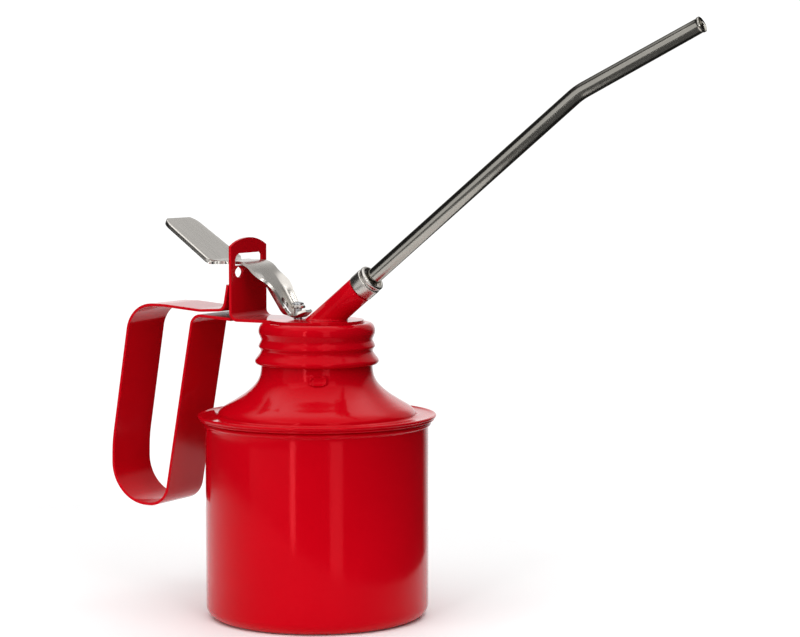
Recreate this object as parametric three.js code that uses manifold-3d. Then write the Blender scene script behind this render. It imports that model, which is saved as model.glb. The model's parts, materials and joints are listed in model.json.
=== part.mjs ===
import * as THREE from "three";
import Module from "manifold-3d";
import { mergeVertices } from "three/addons/utils/BufferGeometryUtils.js";

// Thumb-pump oil can. Millimetres, +Z up, spout towards +X, origin at the centre of the flat base.

// Tank
const TANK_RADIUS = 45;
const TANK_WALL = 0.8;
const TANK_HEIGHT = 80.4;
const BASE_CORNER = 5;
const LIP_RADIUS = 48.1;

// Shoulder and threaded neck
const SHOULDER_FOOT_RADIUS = 39.7;
const SHEET = 0.6;
const NECK_INNER = 20.9;
const NECK_ROOT = 21.55;
const NECK_TOP = 116.2;

// Rolled thread shared by the neck and the cap
const THREAD_PITCH = 5.5;
const THREAD_DEPTH = 0.8;
const THREAD_GAP = 0.35;
const THREAD_PHASE = (113.0 / THREAD_PITCH) * 2 * Math.PI - Math.PI;

// Screw cap
const CAP_ROOT = NECK_ROOT + THREAD_DEPTH + THREAD_GAP;
const CAP_TOP = 118.5;
const CAP_BOTTOM = 102.6;
const CAP_BEAD = 25.0;
const CAP_TOP_OPENING = 17;

// Pump axis and barrel
const PUMP_X = -8.8;
const BARREL_OUTER = 7;
const BARREL_INNER = 6.2;
const BARREL_TOP = 117.6;
const BARREL_BOTTOM = 52;
const ROD_RADIUS = 1.6;
const ROD_HOLE = 2.2;
const BUTTON_Z = 124.25;
const PISTON_Z = 70;
const SPRING_WIRE = 0.5;
const SPRING_BOTTOM = 81.5;
const SPRING_TOP = 106.1;
const SPRING_TURNS = 7;
const SUCTION_RADIUS = 3;
const BALL_RADIUS = 2.8;

// Delivery passage from the barrel up into the spout
const PORT_Z = 103;
const PORT_BORE = 2.1;
const DELIVERY_X = 4.4;
const DELIVERY_HOLE = 3.1;
const DELIVERY_TOP = 121.6;

// Bracket and handle strip
const BRACKET_SHEET = 1.2;
const BRACKET_X = -32.8;
const BRACKET_HALF = 13.3;
const DISC_RADIUS = 19;
const DISC_MID = 119.4;
const FULCRUM_SLOT = 10.3;
const HANDLE_SHEET = 1.2;
const HANDLE_WIDTH = 26;

// Lever
const LEVER_SHEET = 1.2;
const LEVER_Z = 142.4;
const PAD_RIM = 2.1;
const TONGUE_WIDTH = 18.6;
const LEVER_SLOT = 2.1;

// Spout
const SPOUT_ANGLE = (39 * Math.PI) / 180;
const SPOUT_X = 7.2;
const SPOUT_Z = 122.5;
const BOSS_RADIUS = 5.6;
const BOSS_BORE = 4.6;
const BOSS_FOOT = 120.3;
const BOSS_END = 16.6;
const SPIGOT_RADIUS = 4.3;
const PIPE_RADIUS = 3.2;
const PIPE_BORE = 2.4;
const PIPE_BEND_AT = 138.7;
const PIPE_TIP_ANGLE = (26.5 * Math.PI) / 180;
const PIPE_TIP_LENGTH = 55.2;

const ROUND = 32;
const SMALL_ROUND = 20;

const wasm = await Module();
wasm.setup();

const material = (color, roughness, metalness) =>
  new THREE.MeshStandardMaterial({ color, roughness, metalness });

const redEnamel = material(0xc0000f, 0.28, 0.0);
const brightSteel = material(0xb9b3a8, 0.3, 1.0);
const polishedSteel = material(0x9a948c, 0.18, 1.0);
const plainSteel = material(0x85878a, 0.45, 1.0);
const springSteel = material(0x70747a, 0.35, 1.0);
const brass = material(0xb8923f, 0.35, 1.0);
const nitrile = material(0x1b1b1c, 0.8, 0.0);
const cork = material(0xa9794b, 0.9, 0.0);

function part(name, geometry, mat) {
  const mesh = new THREE.Mesh(geometry, mat);
  mesh.name = name;
  return mesh;
}

function arc(cx, cy, radius, from, to, steps) {
  const points = [];
  for (let i = 0; i <= steps; i += 1) {
    const a = ((from + ((to - from) * i) / steps) * Math.PI) / 180;
    points.push([cx + radius * Math.cos(a), cy + radius * Math.sin(a)]);
  }
  return points;
}

// Turned solid: the profile is [radius, z], counter-clockwise with the axis on its left.
function turned(profile, segments, x = 0) {
  const points = profile.map(([r, z]) => new THREE.Vector2(r, z));
  const geometry = new THREE.LatheGeometry(points, segments);
  geometry.rotateX(Math.PI / 2);
  geometry.translate(x, 0, 0);
  return geometry;
}

function tube(inner, outer, bottom, top, segments, x = 0) {
  const profile = [
    [inner, top],
    [inner, bottom],
    [outer, bottom],
    [outer, top],
    [inner, top],
  ];
  return turned(profile, segments, x);
}

function toManifold(geometry) {
  const bare = geometry.clone();
  bare.deleteAttribute("normal");
  bare.deleteAttribute("uv");
  const merged = mergeVertices(bare, 1e-4);
  const vertProperties = Float32Array.from(merged.attributes.position.array);
  const triVerts = Uint32Array.from(merged.index.array);
  return new wasm.Manifold(new wasm.Mesh({ numProp: 3, vertProperties, triVerts }));
}

function toGeometry(solid) {
  const mesh = solid.getMesh();
  const geometry = new THREE.BufferGeometry();
  const position = new THREE.BufferAttribute(Float32Array.from(mesh.vertProperties), 3);
  geometry.setAttribute("position", position);
  geometry.setIndex(Array.from(mesh.triVerts));
  geometry.computeVertexNormals();
  return geometry;
}

// Closed ring whose profile radius may change with the angle around the axis.
function ringBody(profileAt, segments) {
  const count = profileAt(0).length;
  const positions = [];
  const index = [];
  for (let i = 0; i < segments; i += 1) {
    const a = (i / segments) * 2 * Math.PI;
    for (const [r, z] of profileAt(a)) {
      positions.push(r * Math.cos(a), r * Math.sin(a), z);
    }
  }
  for (let i = 0; i < segments; i += 1) {
    const next = ((i + 1) % segments) * count;
    const here = i * count;
    for (let j = 0; j < count; j += 1) {
      const k = (j + 1) % count;
      index.push(here + j, next + j, next + k);
      index.push(here + j, next + k, here + k);
    }
  }
  const geometry = new THREE.BufferGeometry();
  geometry.setAttribute("position", new THREE.Float32BufferAttribute(positions, 3));
  geometry.setIndex(index);
  geometry.computeVertexNormals();
  return geometry;
}

// Strip bent in the XZ plane: corners are [x, z, bend radius] along its middle.
function bentLine(corners) {
  const line = [[corners[0][0], corners[0][1]]];
  for (let i = 1; i < corners.length - 1; i += 1) {
    const [x, z, radius] = corners[i];
    const before = new THREE.Vector2(corners[i - 1][0] - x, corners[i - 1][1] - z).normalize();
    const after = new THREE.Vector2(corners[i + 1][0] - x, corners[i + 1][1] - z).normalize();
    const half = Math.acos(before.dot(after)) / 2;
    const middle = before.clone().add(after).normalize();
    const centre = middle.clone().multiplyScalar(radius / Math.sin(half));
    const reach = radius / Math.tan(half);
    const from = before.clone().multiplyScalar(reach).sub(centre);
    const to = after.clone().multiplyScalar(reach).sub(centre);
    const turn = Math.atan2(from.x * to.y - from.y * to.x, from.dot(to));
    const steps = Math.max(2, Math.ceil(Math.abs(turn) / 0.26));
    for (let s = 0; s <= steps; s += 1) {
      const spun = from.clone().rotateAround(new THREE.Vector2(), (turn * s) / steps);
      line.push([x + centre.x + spun.x, z + centre.y + spun.y]);
    }
  }
  const last = corners[corners.length - 1];
  line.push([last[0], last[1]]);
  return line;
}

function stripOutline(line, thickness) {
  const left = [];
  const right = [];
  for (let i = 0; i < line.length; i += 1) {
    const a = line[Math.max(0, i - 1)];
    const b = line[Math.min(line.length - 1, i + 1)];
    const along = new THREE.Vector2(b[0] - a[0], b[1] - a[1]).normalize();
    const nx = (-along.y * thickness) / 2;
    const nz = (along.x * thickness) / 2;
    left.push([line[i][0] + nx, line[i][1] + nz]);
    right.unshift([line[i][0] - nx, line[i][1] - nz]);
  }
  return left.concat(right);
}

function shapeOf(points) {
  return new THREE.Shape(points.map(([x, y]) => new THREE.Vector2(x, y)));
}

// Outline drawn in XZ, extruded to the given width across Y.
function acrossY(outline, width) {
  const geometry = new THREE.ExtrudeGeometry(shapeOf(outline), { depth: width, bevelEnabled: false });
  geometry.rotateX(Math.PI / 2);
  geometry.translate(0, width / 2, 0);
  return geometry;
}

// Outline drawn in XY, extruded upwards.
function upZ(outline, bottom, top) {
  const geometry = new THREE.ExtrudeGeometry(shapeOf(outline), { depth: top - bottom, bevelEnabled: false });
  geometry.translate(0, 0, bottom);
  return geometry;
}

// Outline drawn in YZ, extruded along X.
function alongX(outline, from, to) {
  const geometry = new THREE.ExtrudeGeometry(shapeOf(outline), { depth: to - from, bevelEnabled: false });
  geometry.rotateX(Math.PI / 2);
  geometry.rotateZ(Math.PI / 2);
  geometry.translate(from, 0, 0);
  return geometry;
}

function ringShape(outer, inner) {
  const shape = new THREE.Shape();
  shape.absarc(0, 0, outer, 0, 2 * Math.PI, false);
  const hole = new THREE.Path();
  hole.absarc(0, 0, inner, 0, 2 * Math.PI, true);
  shape.holes.push(hole);
  return shape;
}

// Straight leg, one bend, straight leg, with most stations in the bend.
class BentLeg extends THREE.Curve {
  constructor(start, direction, bendAt, turn, radius, endLength) {
    super();
    this.start = start;
    this.angle = direction;
    this.bendAt = bendAt;
    this.turn = turn;
    this.radius = radius;
    this.endLength = endLength;
  }

  getPoint(t) {
    const share = 0.16;
    const side = Math.sign(this.turn);
    const along = new THREE.Vector3(Math.cos(this.angle), 0, Math.sin(this.angle));
    const across = new THREE.Vector3(-Math.sin(this.angle) * side, 0, Math.cos(this.angle) * side);
    const bent = Math.abs(this.turn) * Math.min(1, Math.max(0, (t - share) / (1 - 2 * share)));
    const first = this.bendAt * Math.min(1, t / share);
    const point = this.start.clone().addScaledVector(along, first + this.radius * Math.sin(bent));
    point.addScaledVector(across, this.radius * (1 - Math.cos(bent)));
    const tail = this.endLength * Math.max(0, (t - 1 + share) / share);
    point.addScaledVector(along, tail * Math.cos(bent));
    point.addScaledVector(across, tail * Math.sin(bent));
    return point;
  }

  getUtoTmapping(u) {
    return u;
  }
}

// The coil climbs the pump axis.
class Coil extends THREE.Curve {
  constructor(radius, bottom, top, turns) {
    super();
    this.radius = radius;
    this.bottom = bottom;
    this.top = top;
    this.turns = turns;
  }

  getPoint(t) {
    const a = t * this.turns * 2 * Math.PI;
    const z = this.bottom + (this.top - this.bottom) * t;
    return new THREE.Vector3(PUMP_X + this.radius * Math.cos(a), this.radius * Math.sin(a), z);
  }
}

function tankShell() {
  const outer = arc(TANK_RADIUS - BASE_CORNER, BASE_CORNER, BASE_CORNER, -90, 0, 5);
  const inner = arc(TANK_RADIUS - BASE_CORNER, BASE_CORNER, BASE_CORNER - TANK_WALL, 0, -90, 4);
  const flange = [
    [TANK_RADIUS, TANK_HEIGHT - 1.6],
    [TANK_RADIUS + 0.7, TANK_HEIGHT - 0.9],
    [LIP_RADIUS - 0.5, TANK_HEIGHT - 0.7],
    [LIP_RADIUS - 0.5, TANK_HEIGHT],
    [TANK_RADIUS - 0.1, TANK_HEIGHT],
    [TANK_RADIUS - TANK_WALL, TANK_HEIGHT - 1.0],
  ];
  const profile = [[0, 0], ...outer, ...flange, ...inner, [0, TANK_WALL]];
  return part("tank_shell", turned(profile, 40), redEnamel);
}

function threadWave(z, angle) {
  return 0.5 + 0.5 * Math.cos((2 * Math.PI * z) / THREAD_PITCH - angle - THREAD_PHASE + Math.PI);
}

function fade(z, low, high, run) {
  const rise = Math.min(1, Math.max(0, (z - low) / run));
  const fall = Math.min(1, Math.max(0, (high - z) / run));
  return Math.min(rise, fall);
}

// Pressed dome from the rim up to the threaded neck.
function shoulderProfile(angle) {
  const rim = TANK_HEIGHT + 0.3;
  const outside = [
    [LIP_RADIUS - 0.1, rim - 0.1],
    [LIP_RADIUS, rim + 1.1],
    [LIP_RADIUS - 0.7, rim + 1.1],
    [LIP_RADIUS - 1.2, rim + 0.6],
    [41.0, rim + 0.6],
    [39.9, rim + 1.4],
    [39.0, rim + 3.0],
    [36.6, rim + 4.9],
    [33.2, rim + 6.9],
    [29.2, rim + 9.5],
    [26.1, rim + 12.0],
    [24.1, rim + 14.3],
    [23.0, rim + 16.6],
    [22.5, rim + 19.6],
    [22.3, rim + 21.6],
  ];
  const bottom = 103.2;
  const rows = 11;
  for (let i = 0; i <= rows; i += 1) {
    const z = bottom + ((NECK_TOP - 0.6 - bottom) * i) / rows;
    const ridge = THREAD_DEPTH * threadWave(z, angle) * fade(z, bottom, NECK_TOP - 0.6, 2);
    outside.push([NECK_ROOT + ridge, z]);
  }
  outside.push([NECK_ROOT, NECK_TOP]);
  const inside = [
    [NECK_INNER, NECK_TOP],
    [NECK_INNER, 102],
    [22.3, rim + 16.4],
    [25.5, rim + 11.5],
    [32.8, rim + 6.3],
    [38.4, rim + 2.6],
    [39.4, rim + 0.8],
    [40.8, rim],
  ];
  return outside.concat(inside);
}

function shoulder() {
  return part("shoulder", ringBody(shoulderProfile, ROUND), redEnamel);
}

function capProfile(angle) {
  const rows = 10;
  const low = 105.4;
  const high = 116.2;
  const ridgeAt = (z) => THREAD_DEPTH * (1 - threadWave(z, angle)) * fade(z, low - 0.3, high + 0.3, 1.6);
  const outside = [
    [CAP_ROOT, CAP_BOTTOM],
    [CAP_ROOT + 0.9, CAP_BOTTOM - 0.1],
    [CAP_BEAD - 0.3, CAP_BOTTOM + 0.7],
    [CAP_BEAD, CAP_BOTTOM + 1.4],
    [CAP_BEAD - 0.4, CAP_BOTTOM + 2.1],
  ];
  for (let i = 0; i <= rows; i += 1) {
    const z = low + ((high - low) * i) / rows;
    outside.push([CAP_ROOT + SHEET - ridgeAt(z), z]);
  }
  outside.push([22.9, 117.3], [22.1, 118.1], [20.9, CAP_TOP]);
  outside.push([CAP_TOP_OPENING, CAP_TOP], [CAP_TOP_OPENING, CAP_TOP - SHEET], [20.6, CAP_TOP - SHEET]);
  outside.push([21.6, 117.5], [22.2, 116.8]);
  for (let i = rows; i >= 0; i -= 1) {
    const z = low + ((high - 0.4 - low) * i) / rows;
    outside.push([CAP_ROOT - ridgeAt(z), z]);
  }
  return outside;
}

function circleHole(x, radius) {
  const hole = new THREE.Path();
  hole.absarc(x, 0, radius, 0, 2 * Math.PI, true);
  return hole;
}

function plate(outline, holes, bottom, top, curveSegments) {
  outline.holes.push(...holes);
  const options = { depth: top - bottom, bevelEnabled: false, curveSegments };
  const geometry = new THREE.ExtrudeGeometry(outline, options);
  geometry.translate(0, 0, bottom);
  return geometry;
}

function cap() {
  const rim = toManifold(ringBody(capProfile, ROUND));
  const disc = new THREE.Shape();
  disc.absarc(0, 0, CAP_TOP_OPENING + 0.4, 0, 2 * Math.PI, false);
  const holes = [circleHole(PUMP_X, ROD_HOLE), circleHole(DELIVERY_X, DELIVERY_HOLE)];
  const top = toManifold(plate(disc, holes, CAP_TOP - SHEET, CAP_TOP, 10));
  return part("cap", toGeometry(rim.add(top)), redEnamel);
}

function capGasket() {
  return part("cap_gasket", tube(17.5, 21.2, NECK_TOP + 0.3, CAP_TOP - SHEET - 0.3, ROUND), cork);
}

// Plate with a round foot on the cap, bent up into the arched, slotted fulcrum.
function bracket() {
  const line = bentLine([
    [BRACKET_X, 153.5, 0],
    [BRACKET_X, DISC_MID, 3.2],
    [DISC_RADIUS + 1, DISC_MID, 0],
  ]);
  const side = toManifold(acrossY(stripOutline(line, BRACKET_SHEET), 2 * DISC_RADIUS + 2));
  const foot = arc(0, 0, DISC_RADIUS, -135.6, 135.6, 30);
  foot.push([BRACKET_X - 2, BRACKET_HALF], [BRACKET_X - 2, -BRACKET_HALF]);
  const plan = toManifold(upZ(foot, 110, 160));
  const arch = arc(0, 124.05, 28.45, 62.13, 117.87, 10);
  const front = [[-30, 100], [30, 100], [30, 120.3], [BRACKET_HALF, 120.3], ...arch];
  front.push([-BRACKET_HALF, 120.3], [-30, 120.3]);
  const face = toManifold(alongX(front, -60, 60));
  const slot = [[-FULCRUM_SLOT, 141.3], [FULCRUM_SLOT, 141.3], [FULCRUM_SLOT, 145.2], [9.3, 146.2]];
  slot.push([-7.6, 146.2], [-9.4, 145.2], [-FULCRUM_SLOT, 143.6]);
  const window = toManifold(alongX(slot, BRACKET_X - 3, BRACKET_X + 3));
  const rodHole = toManifold(turned([[0, 110], [ROD_HOLE, 110], [ROD_HOLE, 130], [0, 130]], 16, PUMP_X));
  const portHole = [[0, 110], [DELIVERY_HOLE, 110], [DELIVERY_HOLE, 130], [0, 130]];
  const port = toManifold(turned(portHole, 16, DELIVERY_X));
  let solid = side.intersect(plan).intersect(face).subtract(window).subtract(rodHole).subtract(port);
  for (const y of [-7.3, 7.3]) {
    const drop = [[y - 3.1, 138.7], ...arc(y - 0.6, 138.9, 2.5, 200, 270, 3), ...arc(y + 0.6, 138.9, 2.5, 270, 340, 3)];
    drop.push([y + 3.1, 138.7], [y + 2.6, 139.7], [y + 0.7, 140.9], [y - 0.7, 140.9], [y - 2.6, 139.7]);
    solid = solid.subtract(toManifold(alongX(drop, BRACKET_X - 3, BRACKET_X + 3)));
  }
  return part("bracket", toGeometry(solid), redEnamel);
}

function handleStrip() {
  const line = bentLine([
    [-34.4, 133.6, 0],
    [-36.3, 123.3, 3.4],
    [-48, 122.7, 20],
    [-66, 124.2, 20],
    [-82.2, 124.2, 12.2],
    [-91.7, 66, 60],
    [-92.0, 41.2, 16.6],
    [-65.9, 41.2, 9],
    [-51.5, 120.9, 4.6],
    [-32.9, 119.5, 0],
  ]);
  return part("handle_strip", acrossY(stripOutline(line, HANDLE_SHEET), HANDLE_WIDTH), redEnamel);
}

function leverLine() {
  return bentLine([
    [-66.9, 159.37, 0],
    [-42.6, LEVER_Z, 5],
    [-27.4, LEVER_Z, 8],
    [-19.9, 132.6, 25],
    [-12.4, 121.5, 3],
    [-6.5, 121.2, 4],
    [-3.2, 123.6, 0],
  ]);
}

function padPlan(inset) {
  const free = 11.35 - inset;
  const crease = 12.7 - inset;
  return [
    [-36.6, 9.3 - inset],
    [-39.2, crease],
    [-42.5, crease],
    ...arc(-63.2, free - 4, 4, 90, 155, 4),
    ...arc(-63.2, 4 - free, 4, 205, 270, 4),
    [-42.5, -crease],
    [-39.2, -crease],
    [-36.6, inset - 9.3],
  ];
}

// Thumb pad with turned-down side rims, flat neck through the fulcrum, and a channel-shaped foot.
function lever() {
  const line = leverLine();
  const strip = toManifold(acrossY(stripOutline(line, LEVER_SHEET), 30));
  const tongue = TONGUE_WIDTH / 2;
  const foot = tongue - 1.9;
  const plan = [...arc(-7.6, 0, foot, -68, 68, 12), [-19.5, foot], [-25.5, tongue]];
  plan.push(...padPlan(0), [-25.5, -tongue], [-19.5, -foot]);
  const sheet = strip.intersect(toManifold(upZ(plan, 100, 180)));

  const down = PAD_RIM - LEVER_SHEET / 2;
  const rimSide = [[-65.4, 157.8], [-44.2, 142.85], [-44.2, 142.85 - down], [-65.4, 157.8 - down * 1.22]];
  const ring = toManifold(upZ(padPlan(0), 100, 180)).subtract(toManifold(upZ(padPlan(1.1), 99, 181)));
  const rims = ring.intersect(toManifold(acrossY(rimSide, 40)));

  const wingSide = [[-24.5, 138.6], [-21.5, 138.1], [-17.6, 134.8], [-10.2, 125.3], [-6.4, 124.0]];
  wingSide.push([-5.2, 122.0], [-6.6, 121.2], [-11.6, 121.4], [-13.0, 122.4], [-19.9, 132.6]);
  let wings = toManifold(acrossY(wingSide, 2 * foot));
  wings = wings.subtract(toManifold(acrossY([[-30, 110], [0, 110], [0, 145], [-30, 145]], 2 * foot - 2.4)));
  const slot = arc(-7.4, 0, LEVER_SLOT, -90, 90, 6).concat(arc(-14.4, 0, LEVER_SLOT, 90, 270, 6));
  const solid = sheet.add(rims).add(wings).subtract(toManifold(upZ(slot, 110, 135)));
  return part("lever", toGeometry(solid), brightSteel);
}

// Moves a piece turned about Z onto the spout line; its z becomes the distance along the spout.
function ontoSpout(geometry) {
  geometry.rotateY(Math.PI / 2 - SPOUT_ANGLE);
  geometry.translate(SPOUT_X, 0, SPOUT_Z);
  return geometry;
}

function spoutBoss() {
  const outer = toManifold(ontoSpout(tube(BOSS_BORE, BOSS_RADIUS, -16, BOSS_END, 28)));
  const below = [[-60, -30], [60, -30], [60, 30], [-60, 30]];
  const solid = outer.subtract(toManifold(upZ(below, 60, BOSS_FOOT)));
  return part("spout_boss", toGeometry(solid), redEnamel);
}

function spoutWasher() {
  const ring = tube(SPIGOT_RADIUS + 0.3, SPIGOT_RADIUS + 0.7, BOSS_END + 0.3, BOSS_END + 0.8, 24);
  return part("spout_washer", ontoSpout(ring), nitrile);
}

// Collar with a spigot inside the boss and a skirt round the washer; the pipe is fixed in its bore.
function spoutCollar() {
  const bore = PIPE_RADIUS + 0.3;
  const rear = BOSS_END + 0.3;
  const face = BOSS_END + 1.1;
  const profile = [
    [bore, face - 5],
    [SPIGOT_RADIUS, face - 5],
    [SPIGOT_RADIUS, face],
    [SPIGOT_RADIUS + 1, face],
    [SPIGOT_RADIUS + 1, rear],
    [BOSS_RADIUS, rear],
    [BOSS_RADIUS + 0.2, rear + 0.3],
    [BOSS_RADIUS + 0.2, rear + 5.1],
    [BOSS_RADIUS - 0.15, rear + 5.4],
    [BOSS_RADIUS - 0.15, rear + 5.8],
    [BOSS_RADIUS + 0.1, rear + 6.1],
    [BOSS_RADIUS + 0.1, rear + 6.8],
    [BOSS_RADIUS - 0.6, rear + 7.5],
    [bore + 0.9, rear + 7.5],
    [bore + 0.7, rear + 6.3],
    [bore, rear + 6.2],
    [bore, face - 5],
  ];
  return part("spout_collar", ontoSpout(turned(profile, 24)), brightSteel);
}

function spoutPipe() {
  const begin = BOSS_END - 3.2;
  const start = new THREE.Vector3(
    SPOUT_X + begin * Math.cos(SPOUT_ANGLE),
    0,
    SPOUT_Z + begin * Math.sin(SPOUT_ANGLE),
  );
  const turn = PIPE_TIP_ANGLE - SPOUT_ANGLE;
  const radius = 45;
  const reach = radius * Math.tan(Math.abs(turn) / 2);
  const bendAt = PIPE_BEND_AT - begin - reach;
  const path = new BentLeg(start, SPOUT_ANGLE, bendAt, turn, radius, PIPE_TIP_LENGTH - reach);
  const options = { steps: 10, curveSegments: 7, extrudePath: path };
  const geometry = new THREE.ExtrudeGeometry(ringShape(PIPE_RADIUS, PIPE_BORE), options);
  return part("spout_pipe", geometry, polishedSteel);
}

function pumpBarrel() {
  const profile = [
    [BARREL_INNER, BARREL_TOP],
    [BARREL_INNER, BARREL_BOTTOM],
    [BARREL_OUTER, BARREL_BOTTOM],
    [BARREL_OUTER, BARREL_TOP - 0.8],
    [8.2, BARREL_TOP - 0.8],
    [8.2, BARREL_TOP],
    [BARREL_INNER, BARREL_TOP],
  ];
  const body = toManifold(turned(profile, 24, PUMP_X));
  const drill = turned([[0, 0], [PORT_BORE, 0], [PORT_BORE, 9], [0, 9]], 12);
  drill.rotateY(Math.PI / 2);
  drill.translate(PUMP_X, 0, PORT_Z);
  return part("pump_barrel", toGeometry(body.subtract(toManifold(drill))), plainSteel);
}

function deliveryElbow() {
  const start = new THREE.Vector3(PUMP_X + BARREL_OUTER + 0.3, 0, PORT_Z);
  const radius = 4.2;
  const along = DELIVERY_X - start.x - radius;
  const rise = DELIVERY_TOP - PORT_Z - radius;
  const path = new BentLeg(start, 0, along, Math.PI / 2, radius, rise);
  const options = { steps: 8, curveSegments: 4, extrudePath: path };
  const geometry = new THREE.ExtrudeGeometry(ringShape(PORT_BORE + 0.6, PORT_BORE), options);
  return part("delivery_elbow", geometry, plainSteel);
}

function glandBush() {
  const bore = ROD_RADIUS + 0.3;
  return part("gland_bush", tube(bore, BARREL_INNER - 0.3, 110, BARREL_TOP - 0.2, SMALL_ROUND, PUMP_X), brass);
}

function rodPacking() {
  const bore = ROD_RADIUS + 0.3;
  return part("rod_packing", tube(bore, BARREL_INNER - 0.3, 108.0, 109.7, SMALL_ROUND, PUMP_X), nitrile);
}

function packingWasher() {
  const bore = ROD_RADIUS + 0.3;
  return part("packing_washer", tube(bore, BARREL_INNER - 0.3, 107.0, 107.7, SMALL_ROUND, PUMP_X), plainSteel);
}

function returnSpring() {
  const wire = new THREE.Shape();
  wire.absarc(0, 0, SPRING_WIRE, 0, 2 * Math.PI, false);
  const path = new Coil(4.2, SPRING_BOTTOM, SPRING_TOP, SPRING_TURNS);
  const options = { steps: SPRING_TURNS * 9, curveSegments: 3, extrudePath: path };
  return part("return_spring", new THREE.ExtrudeGeometry(wire, options), springSteel);
}

function plungerRod() {
  const profile = [
    [0, PISTON_Z - 1.8],
    [ROD_RADIUS, PISTON_Z - 1.8],
    [ROD_RADIUS, BUTTON_Z + 1.6],
    [2.5, BUTTON_Z + 1.6],
    [2.3, BUTTON_Z + 2.2],
    [1.2, BUTTON_Z + 2.6],
    [0, BUTTON_Z + 2.7],
  ];
  return part("plunger_rod", turned(profile, SMALL_ROUND, PUMP_X), plainSteel);
}

function rodButton() {
  const bore = ROD_RADIUS + 0.3;
  const profile = [
    [bore, BUTTON_Z + 1.3],
    [bore, BUTTON_Z],
    [2.7, BUTTON_Z],
    [3.0, BUTTON_Z + 0.3],
    [3.0, BUTTON_Z + 1.0],
    [2.7, BUTTON_Z + 1.3],
    [bore, BUTTON_Z + 1.3],
  ];
  return part("rod_button", turned(profile, SMALL_ROUND, PUMP_X), brightSteel);
}

function pistonNut() {
  const hexagon = arc(PUMP_X, 0, 3.2, 0, 300, 5);
  const outline = shapeOf(hexagon);
  const geometry = plate(outline, [circleHole(PUMP_X, ROD_RADIUS + 0.3)], PISTON_Z - 1.5, PISTON_Z, 8);
  return part("piston_nut", geometry, plainSteel);
}

function pistonWasher() {
  const ring = tube(ROD_RADIUS + 0.3, 4.6, PISTON_Z + 0.3, PISTON_Z + 1.0, SMALL_ROUND, PUMP_X);
  return part("piston_washer", ring, plainSteel);
}

// Cup with its lip upwards: it seals going up and lets oil past going down.
function pistonCup() {
  const low = PISTON_Z + 1.3;
  const profile = [
    [ROD_RADIUS + 0.3, low + 1.1],
    [ROD_RADIUS + 0.3, low],
    [5.0, low],
    [5.8, low + 0.8],
    [5.9, low + 4.4],
    [5.3, low + 4.4],
    [5.0, low + 1.4],
    [4.7, low + 1.1],
    [ROD_RADIUS + 0.3, low + 1.1],
  ];
  return part("piston_cup", turned(profile, SMALL_ROUND, PUMP_X), nitrile);
}

function pistonBody() {
  const low = PISTON_Z + 2.7;
  const profile = [
    [ROD_RADIUS + 0.3, low + 8],
    [ROD_RADIUS + 0.3, low],
    [4.4, low],
    [4.7, low + 0.6],
    [4.7, low + 3.6],
    [5.7, low + 4.0],
    [5.7, low + 6.6],
    [5.4, low + 7],
    [3.4, low + 7],
    [3.4, low + 8],
    [ROD_RADIUS + 0.3, low + 8],
  ];
  return part("piston_body", turned(profile, SMALL_ROUND, PUMP_X), brass);
}

function footValve() {
  const low = BARREL_BOTTOM + 0.3;
  const profile = [
    [SUCTION_RADIUS + 0.3, low],
    [BARREL_INNER - 0.3, low],
    [BARREL_INNER - 0.3, low + 8.2],
    [3.6, low + 8.2],
    [1.6, low + 6.2],
    [1.6, low + 4.3],
    [SUCTION_RADIUS + 0.3, low + 4.3],
    [SUCTION_RADIUS + 0.3, low],
  ];
  return part("foot_valve", turned(profile, SMALL_ROUND, PUMP_X), brass);
}

function inletBall() {
  const centre = BARREL_BOTTOM + 9.3;
  const profile = arc(0, centre, BALL_RADIUS, -90, 90, 8);
  profile[0][0] = 0;
  profile[profile.length - 1][0] = 0;
  return part("inlet_ball", turned(profile, 16, PUMP_X), polishedSteel);
}

function ballGuard() {
  const low = BARREL_BOTTOM + 14;
  return part("ball_guard", tube(1.6, BARREL_INNER - 0.3, low, low + 0.8, SMALL_ROUND, PUMP_X), brass);
}

function suctionTube() {
  const top = BARREL_BOTTOM + 4.3;
  return part("suction_tube", tube(SUCTION_RADIUS - 0.6, SUCTION_RADIUS, 7, top, SMALL_ROUND, PUMP_X), plainSteel);
}

const oilCan = new THREE.Group();
oilCan.name = "oil_can";
oilCan.add(tankShell(), shoulder());
oilCan.add(capGasket(), cap(), bracket(), handleStrip(), lever());
oilCan.add(spoutBoss(), spoutWasher(), spoutCollar(), spoutPipe());
oilCan.add(pumpBarrel(), deliveryElbow(), glandBush(), rodPacking(), packingWasher(), returnSpring());
oilCan.add(plungerRod(), rodButton(), pistonNut(), pistonWasher(), pistonCup(), pistonBody());
oilCan.add(footValve(), inletBall(), ballGuard(), suctionTube());

export default oilCan;
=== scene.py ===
import json
import math

import bmesh
import bpy
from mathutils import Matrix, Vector


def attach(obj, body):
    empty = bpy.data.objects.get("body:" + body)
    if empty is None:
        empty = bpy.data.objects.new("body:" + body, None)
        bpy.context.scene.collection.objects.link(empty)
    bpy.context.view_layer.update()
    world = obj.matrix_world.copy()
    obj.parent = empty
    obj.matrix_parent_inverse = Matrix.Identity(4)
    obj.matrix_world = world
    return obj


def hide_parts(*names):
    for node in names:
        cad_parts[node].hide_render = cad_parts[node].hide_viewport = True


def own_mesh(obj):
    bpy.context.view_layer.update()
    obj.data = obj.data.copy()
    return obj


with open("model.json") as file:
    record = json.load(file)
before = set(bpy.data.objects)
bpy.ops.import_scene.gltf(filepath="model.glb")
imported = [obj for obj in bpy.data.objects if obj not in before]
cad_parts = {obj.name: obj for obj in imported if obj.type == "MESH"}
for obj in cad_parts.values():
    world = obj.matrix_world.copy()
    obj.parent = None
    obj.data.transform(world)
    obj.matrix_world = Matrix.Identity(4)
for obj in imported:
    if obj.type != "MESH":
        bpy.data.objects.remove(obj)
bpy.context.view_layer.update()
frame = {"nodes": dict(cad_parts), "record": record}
nodes = frame["nodes"]

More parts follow.
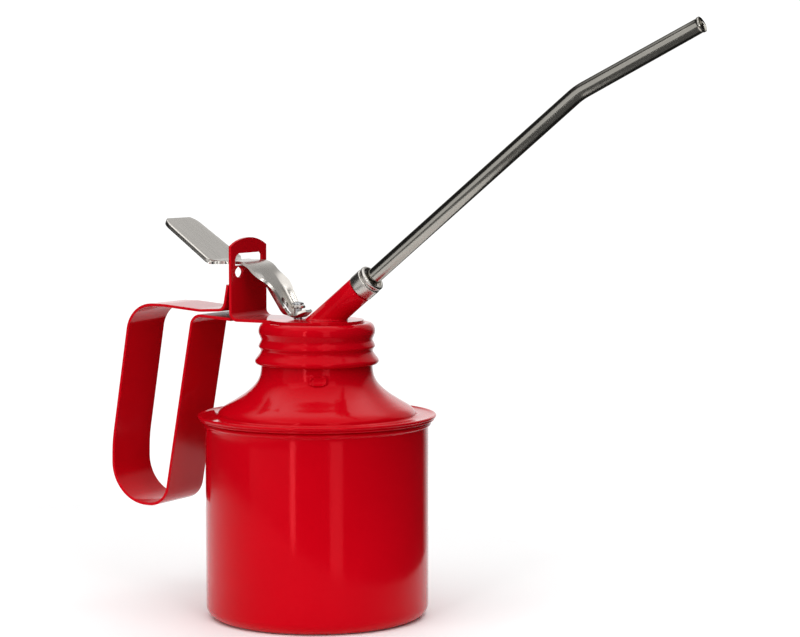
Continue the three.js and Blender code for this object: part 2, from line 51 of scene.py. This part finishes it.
# Pieces are drawn in millimetres, and MM turns them into metres. The stage is in metres.
MM = 0.001
PUMP_X = -8.8
STRIP_WIDTH = 26.0
STRIP_SHEET = 1.2
LEVER_HALF_SHEET = 0.6
THREAD_PITCH = 5.5
THREAD_CREST = 113.0


# ---------------------------------------------------------------- materials
def new_material(name):
    mat = bpy.data.materials.new(name)
    mat.use_nodes = True
    return mat, mat.node_tree, mat.node_tree.nodes["Principled BSDF"]


def node(tree, kind, **values):
    n = tree.nodes.new(kind)
    for key, value in values.items():
        n.inputs[key].default_value = value
    return n


def ramp(tree, source, stops):
    r = tree.nodes.new("ShaderNodeValToRGB")
    r.color_ramp.elements[0].position = stops[0][0]
    r.color_ramp.elements[0].color = stops[0][1]
    r.color_ramp.elements[1].position = stops[-1][0]
    r.color_ramp.elements[1].color = stops[-1][1]
    for position, color in stops[1:-1]:
        r.color_ramp.elements.new(position).color = color
    tree.links.new(source, r.inputs["Fac"])
    return r


def grey(value):
    return (value, value, value, 1)


def noise(tree, source, **values):
    texture = node(tree, "ShaderNodeTexNoise", **values)
    tree.links.new(source, texture.inputs["Vector"])
    return texture.outputs["Fac"]


def roughen(tree, shader, height, strength, distance):
    bump = node(tree, "ShaderNodeBump", Strength=strength, Distance=distance)
    tree.links.new(height, bump.inputs["Height"])
    tree.links.new(bump.outputs["Normal"], shader.inputs["Normal"])


def enamel():
    """Glossy red enamel with a faint cloudiness and orange peel."""
    mat, tree, shader = new_material("red_enamel")
    place = node(tree, "ShaderNodeTexCoord").outputs["Object"]
    cloud = noise(tree, place, Scale=22.0, Detail=4.0)
    deep = (0.50, 0.0005, 0.0058, 1)
    bright = (0.545, 0.0009, 0.007, 1)
    tone = ramp(tree, cloud, [(0.3, deep), (0.7, bright)])
    tree.links.new(tone.outputs["Color"], shader.inputs["Base Color"])
    smear = noise(tree, place, Scale=90.0, Detail=5.0, Roughness=0.6)
    sheen = ramp(tree, smear, [(0.35, grey(0.09)), (0.7, grey(0.14))])
    tree.links.new(sheen.outputs["Color"], shader.inputs["Roughness"])
    peel = noise(tree, place, Scale=700.0, Detail=2.0)
    roughen(tree, shader, peel, 0.02, 0.0004)
    shader.inputs["Specular IOR Level"].default_value = 0.28
    shader.inputs["Specular Tint"].default_value = (1.0, 0.1, 0.12, 1)
    return mat


def metal(name, dark, light, rough, grain, stretch, strength):
    """Metal with a fine grain that stretch draws out into brushing."""
    mat, tree, shader = new_material(name)
    place = node(tree, "ShaderNodeTexCoord").outputs["Object"]
    scale = node(tree, "ShaderNodeMapping", Scale=stretch)
    tree.links.new(place, scale.inputs["Vector"])
    brushed = noise(tree, scale.outputs["Vector"], Scale=grain, Detail=4.0, Roughness=0.65)
    tone = ramp(tree, brushed, [(0.3, (*dark, 1)), (0.7, (*light, 1))])
    tree.links.new(tone.outputs["Color"], shader.inputs["Base Color"])
    low, high = rough
    sheen = ramp(tree, brushed, [(0.3, grey(low)), (0.75, grey(high))])
    tree.links.new(sheen.outputs["Color"], shader.inputs["Roughness"])
    roughen(tree, shader, brushed, strength, 0.0002)
    shader.inputs["Metallic"].default_value = 1.0
    return mat


def dull(name, dark, light, scale, rough):
    """Rubber or cork."""
    mat, tree, shader = new_material(name)
    place = node(tree, "ShaderNodeTexCoord").outputs["Object"]
    grain = noise(tree, place, Scale=scale, Detail=5.0)
    tone = ramp(tree, grain, [(0.35, (*dark, 1)), (0.65, (*light, 1))])
    tree.links.new(tone.outputs["Color"], shader.inputs["Base Color"])
    roughen(tree, shader, grain, 0.3, 0.0003)
    shader.inputs["Roughness"].default_value = rough
    return mat


finish = {
    "red_enamel": enamel(),
    "bright_steel": metal(
        "bright_steel", (0.50, 0.475, 0.44), (0.53, 0.505, 0.47), (0.26, 0.3), 60.0, (1, 8, 1), 0.004
    ),
    "pipe_steel": metal(
        "pipe_steel", (0.35, 0.335, 0.30), (0.385, 0.37, 0.335), (0.15, 0.2), 120.0, (0.5, 6, 1), 0.004
    ),
    "plain_steel": metal(
        "plain_steel", (0.34, 0.35, 0.36), (0.48, 0.49, 0.50), (0.3, 0.45), 150.0, (1, 1, 1), 0.05
    ),
    "spring_steel": metal(
        "spring_steel", (0.26, 0.27, 0.29), (0.38, 0.39, 0.41), (0.3, 0.42), 220.0, (1, 1, 1), 0.05
    ),
    "brass": metal("brass", (0.56, 0.38, 0.12), (0.70, 0.50, 0.19), (0.25, 0.4), 180.0, (1, 1, 6), 0.05),
    "nitrile": dull("nitrile", (0.014, 0.014, 0.014), (0.03, 0.03, 0.03), 400.0, 0.7),
    "cork": dull("cork", (0.30, 0.18, 0.09), (0.50, 0.32, 0.18), 500.0, 0.85),
}


# ---------------------------------------------------------------- meshes
def make_mesh(name, verts, faces):
    mesh = bpy.data.meshes.new(name)
    mesh.from_pydata([Vector(v) * MM for v in verts], [], faces)
    bm = bmesh.new()
    bm.from_mesh(mesh)
    bmesh.ops.recalc_face_normals(bm, faces=bm.faces)
    bm.to_mesh(mesh)
    bm.free()
    return mesh


def make_object(name, verts, faces, slot, body, replaced, sharp=32):
    """A visual piece that rides on a body in place of the replaced CAD nodes."""
    mesh = make_mesh(name, verts, faces)
    for polygon in mesh.polygons:
        polygon.use_smooth = True
    mesh.set_sharp_from_angle(angle=math.radians(sharp))
    mesh.materials.append(finish[slot])
    obj = bpy.data.objects.new(name, mesh)
    bpy.context.scene.collection.objects.link(obj)
    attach(obj, body)
    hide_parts(*replaced)
    return obj


def arc(cx, cy, r, start, end, steps):
    out = []
    for i in range(steps + 1):
        a = math.radians(start + (end - start) * i / steps)
        out.append((cx + r * math.cos(a), cy + r * math.sin(a)))
    return out


def smooth(points, steps):
    """Catmull-Rom curve through the points."""
    out = []
    last = len(points) - 1
    for i in range(last):
        p0 = points[max(0, i - 1)]
        p1 = points[i]
        p2 = points[i + 1]
        p3 = points[min(last, i + 2)]
        for k in range(steps):
            t = k / steps
            out.append(
                tuple(
                    0.5
                    * (
                        2 * b
                        + (c - a) * t
                        + (2 * a - 5 * b + 4 * c - d) * t * t
                        + (3 * b - a - 3 * c + d) * t ** 3
                    )
                    for a, b, c, d in zip(p0, p1, p2, p3)
                )
            )
    out.append(points[-1])
    return out


def loft(sections, closed):
    """Skin over sections that all have the same number of points; an open run gets flat ends."""
    count = len(sections)
    size = len(sections[0])
    verts = [point for section in sections for point in section]
    faces = []
    for i in range(count if closed else count - 1):
        here = i * size
        there = ((i + 1) % count) * size
        for j in range(size):
            k = (j + 1) % size
            faces.append((here + j, there + j, there + k, here + k))
    if not closed:
        faces.append(tuple(range(size)))
        faces.append(tuple((count - 1) * size + j for j in range(size)))
    return verts, faces


def revolve(profile_at, count):
    """Closed ring: the profile is a closed loop of (radius, z) that may change with the angle."""
    sections = []
    for i in range(count):
        a = 2 * math.pi * i / count
        sections.append([(r * math.cos(a), r * math.sin(a), z) for r, z in profile_at(a)])
    return loft(sections, closed=True)


def spin(profile, count):
    """Open profile whose two ends lie on the axis."""
    verts = [(0, 0, profile[0][1])]
    inner = profile[1:-1]
    for i in range(count):
        a = 2 * math.pi * i / count
        verts += [(r * math.cos(a), r * math.sin(a), z) for r, z in inner]
    verts.append((0, 0, profile[-1][1]))
    size = len(inner)
    end = len(verts) - 1
    faces = []
    for i in range(count):
        here = 1 + i * size
        there = 1 + ((i + 1) % count) * size
        faces.append((0, there, here))
        faces.append((end, here + size - 1, there + size - 1))
        for j in range(size - 1):
            faces.append((here + j, there + j, there + j + 1, here + j + 1))
    return verts, faces


def bent_line(corners, turn_step=0.05, spacing=3.0):
    """Centre line in XZ through corners of (x, z, bend radius), as points with a fine step in the bends."""
    line = [Vector(corners[0][:2])]

    def run_to(point):
        gap = (point - line[-1]).length
        start = line[-1].copy()
        for k in range(1, max(1, round(gap / spacing))):
            line.append(start.lerp(point, k / max(1, round(gap / spacing))))
        if gap > 1e-6:
            line.append(point)

    for i in range(1, len(corners) - 1):
        corner = Vector(corners[i][:2])
        radius = corners[i][2]
        before = (Vector(corners[i - 1][:2]) - corner).normalized()
        after = (Vector(corners[i + 1][:2]) - corner).normalized()
        half = before.angle(after) / 2
        centre = (before + after).normalized() * (radius / math.sin(half))
        reach = radius / math.tan(half)
        start = before * reach - centre
        end = after * reach - centre
        turn = math.atan2(start.x * end.y - start.y * end.x, start.dot(end))
        steps = max(2, math.ceil(abs(turn) / turn_step))
        for s in range(steps + 1):
            c, d = math.cos(turn * s / steps), math.sin(turn * s / steps)
            point = corner + centre + Vector((start.x * c - start.y * d, start.x * d + start.y * c))
            if s == 0:
                run_to(point)
            else:
                line.append(point)
    run_to(Vector(corners[-1][:2]))
    return line


def normals_of(line):
    out = []
    for i in range(len(line)):
        along = (line[min(i + 1, len(line) - 1)] - line[max(i - 1, 0)]).normalized()
        out.append(Vector((-along.y, along.x)))
    return out


def rounded_section(width, thickness, radius):
    """Cross-section of a strip with rounded edges: (y, offset) pairs going round once."""
    w = width / 2 - radius
    t = thickness / 2 - radius
    across = [width * (k / 8 - 0.5) for k in range(1, 8)]
    corner = [(radius * math.cos(a), radius * math.sin(a)) for a in (1.2, 0.8, 0.4, 0.0)]
    out = [(y, thickness / 2) for y in across]
    out += [(w + x, t + z) for x, z in corner]
    out += [(w + x, -t - z) for x, z in reversed(corner)]
    out += [(y, -thickness / 2) for y in reversed(across)]
    out += [(-w - x, -t - z) for x, z in corner]
    out += [(-w - x, t + z) for x, z in reversed(corner)]
    return out


def strip(line, width, thickness, radius=0.35):
    section = rounded_section(width, thickness, radius)
    sections = []
    for point, normal in zip(line, normals_of(line)):
        places = [(point + normal * offset, y) for y, offset in section]
        sections.append([(p.x, y, p.y) for p, y in places])
    return loft(sections, closed=False)


# ---------------------------------------------------------------- tank
TANK_R = 45.0
TANK_H = 80.4


def tank():
    outer = [(0, 0), (12, 0), (24, 0), (34, 0)]
    outer += arc(TANK_R - 5, 5, 5, -90, 0, 16)
    outer += [(TANK_R, z) for z in (14, 26, 38, 50, 62, 72)]
    outer += [(TANK_R, 76.4), (TANK_R + 0.15, 77.2)]
    outer += arc(TANK_R + 0.25, 78.3, 0.85, -70, 80, 8)
    outer += [(TANK_R + 0.7, TANK_H - 1.0), (TANK_R + 1.4, TANK_H - 0.8)]
    outer += arc(47.0, TANK_H - 0.35, 0.4, -90, 90, 6)
    inside = TANK_R - 0.8
    inner = [(TANK_R - 0.3, TANK_H - 0.1), (inside, TANK_H - 0.8), (inside, 40), (inside, 5)]
    inner += arc(TANK_R - 5, 5, 4.2, 0, -90, 10)[1:]
    inner += [(0, 0.8)]
    verts, faces = spin(outer + inner, 200)
    make_object("tank_skin", verts, faces, "red_enamel", "tank", ["tank_shell"])


# ---------------------------------------------------------------- shoulder and cap
NECK_ROOT = 21.25


def wave(z, a):
    """Right-hand thread, from 0 at the root to 1 at the crest."""
    c = 0.5 + 0.5 * math.cos(2 * math.pi * (z - THREAD_CREST) / THREAD_PITCH - a)
    return c * c * (3 - 2 * c)


def fade(z, low, high, run):
    t = max(0.0, min(1.0, min(z - low, high - z) / run))
    return t * t * (3 - 2 * t)


PIP_AT = math.radians(-58.2)
DOME = smooth(
    [
        (40.0, 81.9),
        (39.6, 83.0),
        (38.2, 84.5),
        (35.9, 86.0),
        (33.2, 87.6),
        (29.2, 90.2),
        (26.1, 92.8),
        (24.1, 95.2),
        (23.0, 97.6),
        (22.55, 100.2),
        (22.4, 102.2),
        (21.7, 103.2),
    ],
    5,
)


def pip(a, z):
    """Small pressed pip on the neck with a raised rim."""
    side = (a - PIP_AT + math.pi) % (2 * math.pi) - math.pi
    u = abs(side * 22.5) / 3.2
    v = abs(z - 97.4) / 1.75
    d = (u ** 3 + v ** 3) ** (1 / 3)
    rim = max(0.0, 1 - abs(d - 0.95) / 0.32)
    return 0.9 * rim * rim * (3 - 2 * rim) + 0.15 * max(0.0, min(1.0, (0.95 - d) / 0.3))


def shoulder_ring(a):
    ring = [(46.9, 80.55), (47.6, 80.4)]
    ring += arc(47.55, 81.35, 0.62, -80, 90, 10)
    ring += [(47.1, 81.85), (46.6, 81.55), (45.9, 81.4), (42.2, 81.3), (41.0, 81.35), (40.4, 81.55)]
    ring += [(r + pip(a, z), z) for r, z in DOME]
    rows = 34
    for i in range(1, rows + 1):
        z = 103.4 + (115.6 - 103.4) * i / rows
        ring.append((NECK_ROOT + 0.7 * wave(z, a) * fade(z, 103.2, 115.8, 2), z))
    ring += [(21.1, 116.1), (20.9, 116.2), (20.7, 116.0), (20.7, 102.6), (21.9, 97.4), (24.9, 92.2)]
    ring += [(32.4, 87.0), (38.0, 83.8), (39.1, 82.0), (40.4, 80.75)]
    return ring


def shoulder():
    verts, faces = revolve(shoulder_ring, 300)
    make_object("shoulder_skin", verts, faces, "red_enamel", "tank", ["shoulder"], 40)


def cap_ring():
    ring = [(22.1, 102.6), (22.5, 102.2)]
    ring += smooth(
        [
            (23.0, 102.1),
            (24.3, 102.3),
            (24.95, 103.1),
            (24.9, 104.0),
            (24.2, 105.0),
            (23.2, 106.3),
            (22.6, 107.5),
            (22.95, 108.5),
            (23.5, 109.4),
            (23.1, 110.6),
            (22.5, 112.0),
            (23.0, 113.5),
            (23.5, 114.9),
            (23.45, 116.4),
            (22.9, 117.8),
            (21.9, 118.7),
            (20.8, 118.95),
            (19.7, 118.9),
        ],
        4,
    )
    ring += [(19.35, 118.75), (19.2, 118.48), (17.0, 118.45), (17.0, 117.9), (20.6, 117.9), (21.6, 117.4)]
    ring += [(22.1, 116.4), (22.1, 110.0)]
    return ring


def cap():
    """The cap's skin, and the web of its top round the pump's hole, which is off the middle."""
    ring = cap_ring()
    verts, faces = revolve(lambda _: ring, 200)
    make_object("cap_skin", verts, faces, "red_enamel", "head", ["cap"], 40)
    inner, outer = 2.2, 17.3
    web = [(inner, 117.92), (outer, 117.92), (outer, 118.4), (inner, 118.4)]
    verts, faces = revolve(lambda _: web, 48)
    verts = [(x + PUMP_X * (outer - math.hypot(x, y)) / (outer - inner), y, z) for x, y, z in verts]
    make_object("cap_web", verts, faces, "red_enamel", "head", ["cap"])


# ---------------------------------------------------------------- handle, bracket and lever
def handle():
    line = bent_line(
        [
            (-34.4, 133.6, 0),
            (-36.3, 123.3, 3.4),
            (-48, 122.7, 20),
            (-66, 124.2, 20),
            (-82.2, 124.2, 12.2),
            (-91.7, 66, 60),
            (-92.0, 41.2, 16.6),
            (-65.9, 41.2, 9),
            (-51.5, 120.9, 4.6),
            (-32.9, 119.5, 0),
        ]
    )
    verts, faces = strip(line, STRIP_WIDTH, STRIP_SHEET)
    make_object("handle_loop", verts, faces, "red_enamel", "head", ["handle_strip"])


def round_edges(obj, width):
    """Softens the edges of a CAD node."""
    flat = obj.modifiers.new("join flats", "DECIMATE")
    flat.decimate_type = "DISSOLVE"
    flat.angle_limit = math.radians(1)
    edge = obj.modifiers.new("edges", "BEVEL")
    edge.width = width * MM
    edge.segments = 3
    edge.limit_method = "ANGLE"
    edge.angle_limit = math.radians(40)
    edge.harden_normals = False
    even = obj.modifiers.new("even shading", "WEIGHTED_NORMAL")
    even.keep_sharp = False


def lever_line():
    return bent_line(
        [
            (-66.9, 159.37, 0),
            (-42.6, 142.4, 5),
            (-27.4, 142.4, 8),
            (-19.9, 132.6, 25),
            (-12.6, 121.2, 6.5),
            (-7.0, 120.9, 4.5),
            (-3.6, 123.3, 0),
        ],
        spacing=0.7,
    )


def ease(x, low, high):
    t = max(0.0, min(1.0, (x - low) / (high - low)))
    return t * t * (3 - 2 * t)


def lever_half(x):
    """Half the flat width of the lever's sheet at x."""
    pad = 11.35 + 0.062 * (min(x, -43.5) + 63)
    if x < -63.2:
        pad -= 4 - math.sqrt(max(0.4, 16 - (-63.2 - x) ** 2))
    half = pad + (9.3 - pad) * ease(x, -40.4, -36.4) - 1.5 * ease(x, -22, -13)
    half += (3.4 - half) * ease(x, -12.9, -11.7)
    across = abs(x + 7.4) / 4.2
    if across < 1:
        half = max(half if x < -7.4 else 0.0, 4.7 * (1 - across ** 2.4) ** 0.5)
    return max(half, 0.7)


def channel(half, angle):
    """Top and under side of half a section whose side is folded up: (across, up) from the middle out."""
    radius = 2.4
    length = min(5.0, half * 0.55)
    flat = half - length
    path = [(flat * k / 5, 0.0, 0.0) for k in range(5)]
    for k in range(9):
        a = angle * k / 8
        path.append((flat + radius * math.sin(a), radius * (1 - math.cos(a)), a))
    y, up, slope = path[-1]
    rest = max(0.3, length - radius * angle)
    for k in range(1, 4):
        d = rest * k / 3
        path.append((y + d * math.cos(angle), up + d * math.sin(angle), slope))
    half_sheet = LEVER_HALF_SHEET
    top = [(y - half_sheet * math.sin(a), up + half_sheet * math.cos(a)) for y, up, a in path]
    low = [(y + half_sheet * math.sin(a), up - half_sheet * math.cos(a)) for y, up, a in path]
    return top, low


def rimmed(half):
    """The same for the pad, whose sides are turned down and lean in a little."""
    top = [((half - 0.5) * k / 5, LEVER_HALF_SHEET) for k in range(5)]
    top += arc(half - 0.5, 0.1, 0.5, 90, 0, 8)
    top += [(half - 0.16 * k, 0.1 - 0.53 * k) for k in range(1, 4)]
    low = [((half - 1.3) * k / 5, -LEVER_HALF_SHEET) for k in range(5)]
    low += arc(half - 1.3, -0.75, 0.15, 90, 0, 8)
    low += [(half - 1.15 - 0.08 * k, -0.75 - 0.25 * k) for k in range(1, 4)]
    return top, low


def lever_section(x):
    """Closed section of the lever at x as (across, up) pairs."""
    half = lever_half(x)
    rise = 1.2 * ease(x, -25.5, -15.5) * (1 - 0.62 * ease(x, -12.6, -10.9))
    top, low = channel(half, rise)
    pad = 1 - ease(x, -44.6, -41.0)
    if pad > 0:
        top_rim, low_rim = rimmed(half)
        top = [(a + (c - a) * pad, b + (d - b) * pad) for (a, b), (c, d) in zip(top, top_rim)]
        low = [(a + (c - a) * pad, b + (d - b) * pad) for (a, b), (c, d) in zip(low, low_rim)]
    ring = [(-y, up) for y, up in reversed(top[1:])] + top
    ring += list(reversed(low)) + [(-y, up) for y, up in low[1:]]
    return ring


def lever():
    line = lever_line()
    sections = []
    for point, normal in zip(line, normals_of(line)):
        places = [(point + normal * up, y) for y, up in lever_section(point.x)]
        sections.append([(p.x, y, p.y) for p, y in places])
    verts, faces = loft(sections, closed=False)
    cut_slot(make_object("lever_strip", verts, faces, "bright_steel", "lever", ["lever"], 45))


def cut_slot(obj):
    """Slot in the foot for the plunger rod."""
    outline = arc(-7.4, 0, 2.1, -90, 90, 12) + arc(-14.4, 0, 2.1, 90, 270, 12)
    verts, faces = loft([[(x, y, z) for x, y in outline] for z in (112, 134)], closed=False)
    mesh = make_mesh("slot cutter", verts, faces)
    cutter = bpy.data.objects.new("slot cutter", mesh)
    bpy.context.scene.collection.objects.link(cutter)
    cut = obj.modifiers.new("slot", "BOOLEAN")
    cut.operation = "DIFFERENCE"
    cut.object = cutter
    cut.solver = "EXACT"
    bpy.context.view_layer.update()
    made = bpy.data.meshes.new_from_object(obj.evaluated_get(bpy.context.evaluated_depsgraph_get()))
    obj.modifiers.clear()
    obj.data = made
    bpy.data.objects.remove(cutter)


# ---------------------------------------------------------------- spout
ANGLE = math.radians(39)
AXIS = Vector((math.cos(ANGLE), 0, math.sin(ANGLE)))
UP = Vector((-math.sin(ANGLE), 0, math.cos(ANGLE)))
SIDE = Vector((0, 1, 0))
ROOT = Vector((7.2, 0, 122.5))
BOSS_END = 16.6


def on_spout(verts):
    """Moves points turned about Z onto the spout line."""
    out = []
    for x, y, z in verts:
        p = ROOT + AXIS * z + UP * x - SIDE * y
        out.append(tuple(p))
    return out


def boss():
    """Tube cut off level at the bracket, where a fillet runs out, and rounded at its open end."""
    outer_r = 5.6
    inner_r = 4.6
    count = 96
    foot = 120.05
    fillet = 1.1
    sections = []
    for i in range(count):
        a = 2 * math.pi * i / count
        radial = UP * math.cos(a) - SIDE * math.sin(a)
        base = ROOT + radial * outer_r
        meets_foot = (foot - base.z) / AXIS.z
        out = Vector((radial.x * math.sin(ANGLE), radial.y, 0)).normalized()
        ring = []
        for k in range(7):
            b = math.radians(90 * k / 6)
            lift = fillet * (1 - math.cos(b))
            push = fillet * (1 - math.sin(b))
            p = base + AXIS * (meets_foot + lift / AXIS.z) + out * push
            ring.append(Vector((p.x, p.y, foot + lift)))
        start = meets_foot + fillet / AXIS.z
        for t in (0.25, 0.5, 0.75, 1.0):
            ring.append(base + AXIS * (start + (BOSS_END - 0.5 - start) * t))
        ring.append(ROOT + radial * (outer_r - 0.15) + AXIS * (BOSS_END - 0.15))
        ring.append(ROOT + radial * (outer_r - 0.5) + AXIS * BOSS_END)
        ring.append(ROOT + radial * inner_r + AXIS * BOSS_END)
        low = ROOT + radial * inner_r
        ring.append(low + AXIS * ((foot - low.z) / AXIS.z))
        sections.append([tuple(p) for p in ring])
    verts, faces = loft(sections, closed=True)
    make_object("boss_tube", verts, faces, "red_enamel", "head", ["spout_boss"])


def collar():
    r = BOSS_END + 0.3
    ring = [(3.5, r - 4.2), (4.3, r - 4.2), (4.3, r + 0.8), (5.3, r + 0.8), (5.3, r)]
    ring += arc(5.55, r + 0.25, 0.25, -90, 0, 4)
    ring += [(5.82, r + 1.0), (5.82, r + 4.6)]
    ring += arc(5.5, r + 4.85, 0.3, 0, 80, 4)
    ring += [(5.3, r + 5.25), (5.28, r + 5.6)]
    ring += arc(5.35, r + 6.2, 0.35, -70, 0, 4)
    ring += arc(5.0, r + 6.75, 0.7, 0, 90, 6)
    ring += arc(4.7, r + 7.2, 0.25, 90, 180, 4)
    ring += [(4.4, r + 6.6), (4.2, r + 6.2), (3.5, r + 6.1)]
    verts, faces = revolve(lambda _: ring, 96)
    make_object("collar_ring", on_spout(verts), faces, "bright_steel", "spout", ["spout_collar"])


def pipe():
    start = ROOT + AXIS * 13.4
    tip = math.radians(26.5)
    bend = 26.0
    knee = ROOT + AXIS * 138.7
    ahead = Vector((math.cos(tip), 0, math.sin(tip)))
    end = knee + ahead * 55.2
    line = bent_line(
        [(start.x, start.z, 0), (knee.x, knee.z, bend), (end.x, end.z, 0)], turn_step=0.02, spacing=6.0
    )
    normal = normals_of(line)
    total = [0.0]
    for a, b in zip(line, line[1:]):
        total.append(total[-1] + (b - a).length)
    count = 64
    rings = []
    for p, n, length in zip(line, normal, total):
        rings.append((p, n, 2.95 + 0.25 * min(1.0, (total[-1] - length) / 60)))
    last, last_normal, _ = rings.pop()
    along = Vector((last_normal.y, -last_normal.x))
    lip = [(-1.4, 2.95), (-1.1, 2.98), (-0.8, 3.12), (-0.4, 3.18), (0.0, 3.12), (0.12, 2.9), (0.0, 2.6)]
    rings += [(last + along * back, last_normal, r) for back, r in lip]
    rings.append((last + along * -0.6, last_normal, 2.35))
    rings += [(p, n, 2.4) for p, n in reversed(list(zip(line[:-1], normal[:-1])))]
    turns = [2 * math.pi * k / count for k in range(count)]
    sections = []
    for p, n, r in rings:
        places = [(p + n * (r * math.cos(a)), r * math.sin(a)) for a in turns]
        sections.append([(q.x, y, q.y) for q, y in places])
    verts, faces = loft(sections, closed=True)
    make_object("pipe_tube", verts, faces, "pipe_steel", "spout", ["spout_pipe"], 50)


def spring():
    """Return spring round the plunger rod, drawn as a fixed coil; the real one closes up as the plunger
    rises.
    """
    turns = 7
    low, high = 81.5, 106.1
    coil_radius, wire_radius = 4.2, 0.5
    steps = turns * 28
    round_wire = [2 * math.pi * k / 10 for k in range(10)]
    sections = []
    for i in range(steps + 1):
        a = 2 * math.pi * turns * i / steps
        out = Vector((math.cos(a), math.sin(a), 0))
        middle = Vector((PUMP_X, 0, low + (high - low) * i / steps)) + out * coil_radius
        lift = Vector((0, 0, 1))
        around_wire = [out * math.cos(b) + lift * math.sin(b) for b in round_wire]
        sections.append([middle + way * wire_radius for way in around_wire])
    verts, faces = loft(sections, closed=False)
    obj = make_object("spring_coil", verts, faces, "spring_steel", "head", ["return_spring"])
    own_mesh(obj)


# ---------------------------------------------------------------- assembly
for sub in frame["record"]["subparts"]:
    shown = nodes[sub["node"]]
    shown.data.materials.clear()
    shown.data.materials.append(finish[sub["material_slot"]])

tank()
shoulder()
cap()
handle()
lever()
boss()
collar()
pipe()
spring()
round_edges(nodes["bracket"], 0.28)

# ---------------------------------------------------------------- stage, light and camera
bpy.ops.mesh.primitive_circle_add(vertices=128, radius=0.26, fill_type="NGON", location=(-0.12, -0.04, 0))
floor = bpy.context.object
floor.name = "floor"
floor_mat, floor_tree, floor_shader = new_material("pale floor")
floor_place = node(floor_tree, "ShaderNodeTexCoord").outputs["Object"]
floor_cloud = noise(floor_tree, floor_place, Scale=3.0, Detail=3.0)
floor_tone = ramp(floor_tree, floor_cloud, [(0.3, grey(0.96)), (0.7, grey(0.98))])
floor_tree.links.new(floor_tone.outputs["Color"], floor_shader.inputs["Base Color"])
floor_shader.inputs["Roughness"].default_value = 0.7
floor.data.materials.append(floor_mat)

world = bpy.data.worlds.new("studio")
world.use_nodes = True
sky = world.node_tree
sky_place = sky.nodes.new("ShaderNodeTexCoord")


def lobe(direction, low, high, bright):
    """Brightness that rises from nothing to bright with the cosine to a direction."""
    dot = sky.nodes.new("ShaderNodeVectorMath")
    dot.operation = "DOT_PRODUCT"
    dot.inputs[1].default_value = Vector(direction).normalized()
    sky.links.new(sky_place.outputs["Generated"], dot.inputs[0])
    spread = sky.nodes.new("ShaderNodeMapRange")
    spread.interpolation_type = "SMOOTHSTEP"
    spread.inputs["From Min"].default_value = low
    spread.inputs["From Max"].default_value = high
    spread.inputs["To Min"].default_value = 0.0
    spread.inputs["To Max"].default_value = bright
    sky.links.new(dot.outputs["Value"], spread.inputs["Value"])
    return spread.outputs["Result"]


def add(a, b):
    total = sky.nodes.new("ShaderNodeMath")
    total.operation = "ADD"
    sky.links.new(a, total.inputs[0])
    sky.links.new(b, total.inputs[1])
    return total.outputs["Value"]


behind = lobe((-0.5, 0.86, 0.0), 0.76, 0.975, 1.08)
wall = lobe((0.08, 0.857, 0.48), 0.85, 0.95, 0.5)
above = lobe((0.0, 0.0, 1.0), 0.6, 0.85, 1.6)
below = lobe((-0.1, -0.6, -0.8), 0.6, 0.85, 0.12)
faint = sky.nodes.new("ShaderNodeValue").outputs["Value"]
faint.default_value = 0.02
light = add(add(add(behind, wall), add(above, below)), faint)
sky.links.new(light, sky.nodes["Background"].inputs["Color"])
bpy.context.scene.world = world


def area(name, place, target, size, power):
    data = bpy.data.lights.new(name, "AREA")
    data.shape = "RECTANGLE"
    data.size, data.size_y = size
    data.energy = power
    lamp = bpy.data.objects.new(name, data)
    lamp.location = place
    lamp.rotation_euler = (Vector(target) - Vector(place)).to_track_quat("-Z", "Y").to_euler()
    bpy.context.scene.collection.objects.link(lamp)


area("left", (-0.37, -1.21, 0.45), (0, 0, 0.12), (1.25, 1.3), 4.5)
area("strip", (0.145, -1.27, 0.3), (0, 0, 0.1), (0.11, 1.3), 3.6)
area("right strip", (0.98, -0.82, 0.3), (0, 0, 0.1), (0.3, 1.3), 4.0)
area("high right", (0.75, -0.55, 0.95), (0, 0, 0.1), (0.7, 0.5), 2.2)
area("high left", (-0.25, -0.85, 1.05), (0, 0, 0.1), (0.7, 0.5), 2.0)

camera_data = bpy.data.cameras.new("camera")
camera_data.sensor_width = 36
camera_data.lens = 105.6
camera = bpy.data.objects.new("camera", camera_data)
around = math.radians(31)
distance = 0.9424
look_side = math.radians(2.037)
look_down = math.radians(4.459)
camera.location = (distance * math.sin(around), -distance * math.cos(around), 0.19383)
camera.rotation_euler = (math.pi / 2 - look_down, 0, around - look_side)
bpy.context.scene.collection.objects.link(camera)
bpy.context.scene.camera = camera
bpy.context.scene.view_settings.view_transform = "Standard"
